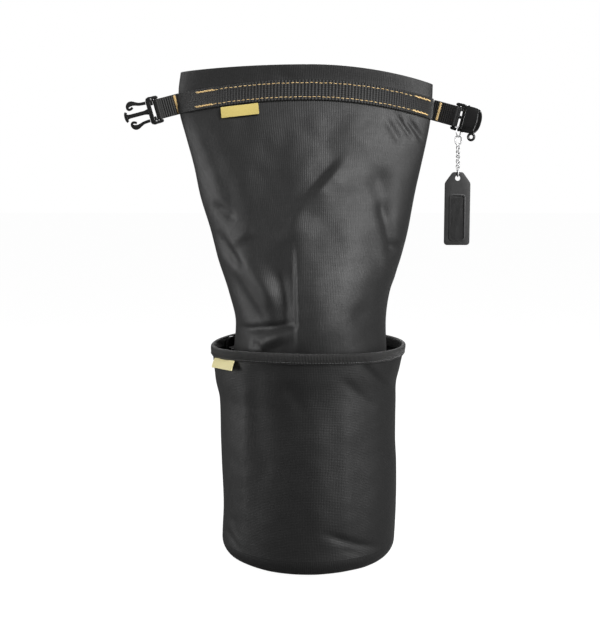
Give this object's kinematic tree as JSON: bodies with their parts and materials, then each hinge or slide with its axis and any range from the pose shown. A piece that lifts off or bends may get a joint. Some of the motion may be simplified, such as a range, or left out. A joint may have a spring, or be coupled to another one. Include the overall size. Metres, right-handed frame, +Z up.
{
  "type": "rope storage bag",
  "caption": "Tall black cloth tube with a flattened folding mouth, standing in a flared round bucket; side-release buckle halves on its strap ends and a tag on a short chain.",
  "frame": {"origin": "centre of the bucket's base, on the ground", "axes": "+Z up through the mouth, -Y to the front with the strap and labels, +X to the side of the tag"},
  "size_m": [0.4463, 0.254, 0.623],
  "materials": {
    "cloth": "matt coated weave",
    "tape": "ribbed tape",
    "webbing": "woven webbing",
    "foam": "matt",
    "thread": "sewing thread",
    "label": "woven label",
    "plastic": "glossy",
    "metal": "bright plated",
    "tag": "satin",
    "card": "matt",
    "pane": "clear"
  },
  "bodies": {
    "bag": {"bucket_wall": "cloth", "base_outer_panel": "cloth", "base_seam_tape": "tape", "rim_binding": "tape", "bucket_seam_tape": "tape", "tube_base_panel": "cloth", "base_stiffener": "foam", "tube_front_panel": "cloth", "tube_back_panel": "cloth", "tube_seam_tape_left": "tape", "tube_seam_tape_right": "tape", "inner_ring_tab": "webbing", "inner_ring_tack": "thread"},
    "inner_ring": {"inner_ring": "plastic"},
    "rim_label": {"rim_label": "label"},
    "mouth": {"mouth_front_panel": "cloth", "mouth_back_panel": "cloth", "mouth_seam_tapes": "tape", "mouth_hem_front": "cloth", "mouth_hem_back": "cloth", "mouth_strap": "webbing", "strap_end_tacks": "thread"},
    "mouth_label": {"mouth_label": "label"},
    "left_strap": {"left_strap_end": "webbing", "left_bar_tack": "thread"},
    "right_strap": {"right_strap_end": "webbing", "right_bar_tack": "thread"},
    "male_buckle": {"male_buckle": "plastic"},
    "upper_prong": {"upper_prong": "plastic"},
    "lower_prong": {"lower_prong": "plastic"},
    "female_buckle": {"female_buckle": "plastic"},
    "chain_ring": {"chain_ring": "metal"},
    "chain_upper": {"chain_clasp": "metal", "chain_upper_links": "metal"},
    "chain_lower": {"chain_lower_links": "metal", "tag_link": "metal"},
    "tag": {"tag_body": "tag", "tag_frame": "tag", "tag_card": "card", "tag_window": "pane"}
  },
  "joints": [
    {"name": "top_fold", "type": "hinge", "parent": "bag", "child": "mouth", "pos_m": [0, -0.04551, 0.53015], "axis": [1, 0, 0], "range_deg": [0, 160]},
    {"name": "left_strap_swing", "type": "hinge", "parent": "mouth", "child": "left_strap", "pos_m": [-0.16094, 0, 0.5775], "axis": [-0.2563, -0.036, 0.9659], "range_deg": [-80, 80], "stiffness_Nm_per_rad": 0.02},
    {"name": "right_strap_swing", "type": "hinge", "parent": "mouth", "child": "right_strap", "pos_m": [0.15942, 0, 0.5685], "axis": [0.2314, -0.1336, 0.9636], "range_deg": [-45, 90], "stiffness_Nm_per_rad": 0.02},
    {"name": "male_buckle_pivot", "type": "hinge", "parent": "left_strap", "child": "male_buckle", "pos_m": [-0.18772, -0.00376, 0.57025], "axis": [-0.2563, -0.036, 0.9659], "range_deg": [-60, 60]},
    {"name": "upper_prong_squeeze", "type": "hinge", "parent": "male_buckle", "child": "upper_prong", "pos_m": [-0.20506, -0.0062, 0.57726], "axis": [0.1392, -0.9903, 0], "range_deg": [0, 7], "stiffness_Nm_per_rad": 0.3},
    {"name": "lower_prong_squeeze", "type": "hinge", "parent": "male_buckle", "child": "lower_prong", "pos_m": [-0.19927, -0.00539, 0.55543], "axis": [-0.1392, 0.9903, 0], "range_deg": [0, 7], "stiffness_Nm_per_rad": 0.3},
    {"name": "female_buckle_pivot", "type": "hinge", "parent": "right_strap", "child": "female_buckle", "pos_m": [0.18279, -0.01349, 0.56102], "axis": [0.2314, -0.1336, 0.9636], "range_deg": [-60, 60]},
    {"name": "chain_ring_swing", "type": "hinge", "parent": "female_buckle", "child": "chain_ring", "pos_m": [0.18584, -0.01525, 0.54453], "axis": [0.866, -0.5, 0], "range_deg": [-45, 45]},
    {"name": "chain_swing", "type": "hinge", "parent": "chain_ring", "child": "chain_upper", "pos_m": [0.18584, -0.01525, 0.53564], "axis": [0, 1, 0], "range_deg": [-40, 17]},
    {"name": "chain_bend", "type": "hinge", "parent": "chain_upper", "child": "chain_lower", "pos_m": [0.18584, -0.01525, 0.51009], "axis": [0, 1, 0], "range_deg": [-45, 20]},
    {"name": "tag_swing", "type": "hinge", "parent": "chain_lower", "child": "tag", "pos_m": [0.18584, -0.01525, 0.48689], "axis": [0, 1, 0], "range_deg": [-20, 20]},
    {"name": "mouth_label_lift", "type": "hinge", "parent": "mouth", "child": "mouth_label", "pos_m": [-0.08509, -0.02642, 0.57333], "axis": [-0.9914, 0.1309, 0], "range_deg": [0, 90], "stiffness_Nm_per_rad": 0.0005},
    {"name": "rim_label_lift", "type": "hinge", "parent": "bag", "child": "rim_label", "pos_m": [-0.11156, -0.05202, 0.26003], "axis": [-0.4226, 0.9063, 0], "range_deg": [-15, 90], "stiffness_Nm_per_rad": 0.0005},
    {"name": "inner_ring_pivot", "type": "hinge", "parent": "bag", "child": "inner_ring", "pos_m": [-0.09983, 0.05534, 0.25881], "axis": [0.4848, 0.8746, 0], "range_deg": [0, 55]}
  ]
}
